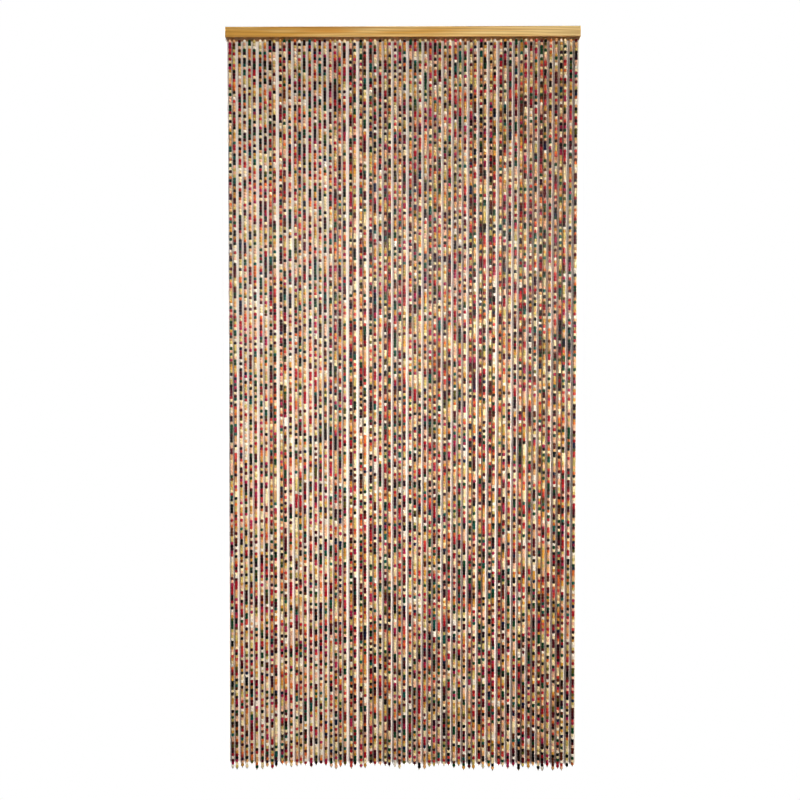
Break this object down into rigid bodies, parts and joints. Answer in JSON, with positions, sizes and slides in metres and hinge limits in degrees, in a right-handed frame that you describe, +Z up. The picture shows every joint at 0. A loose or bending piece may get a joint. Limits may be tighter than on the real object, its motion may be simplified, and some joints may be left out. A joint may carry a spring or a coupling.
{
  "type": "bead curtain with wooden rail",
  "caption": "Doorway curtain of strands of small wooden beads in mixed colours, hanging from a square wooden rail.",
  "frame": {"origin": "centre of the rail's back face, which lies against the wall", "axes": "+Z up, +Y towards the wall, +X to the right seen from the room"},
  "size_m": [0.95, 0.028, 2.0111],
  "materials": {
    "rail_wood": "clear satin lacquer on honey-coloured softwood",
    "bead_wood": "dyed and natural wooden beads in mixed colours, satin"
  },
  "bodies": {
    "root": {"rail": "rail_wood", "strands_01": "bead_wood", "strands_02": "bead_wood", "strands_03": "bead_wood", "strands_04": "bead_wood", "strands_05": "bead_wood", "strands_06": "bead_wood", "strands_07": "bead_wood", "strands_08": "bead_wood", "strands_09": "bead_wood", "strands_10": "bead_wood"}
  },
  "joints": []
}
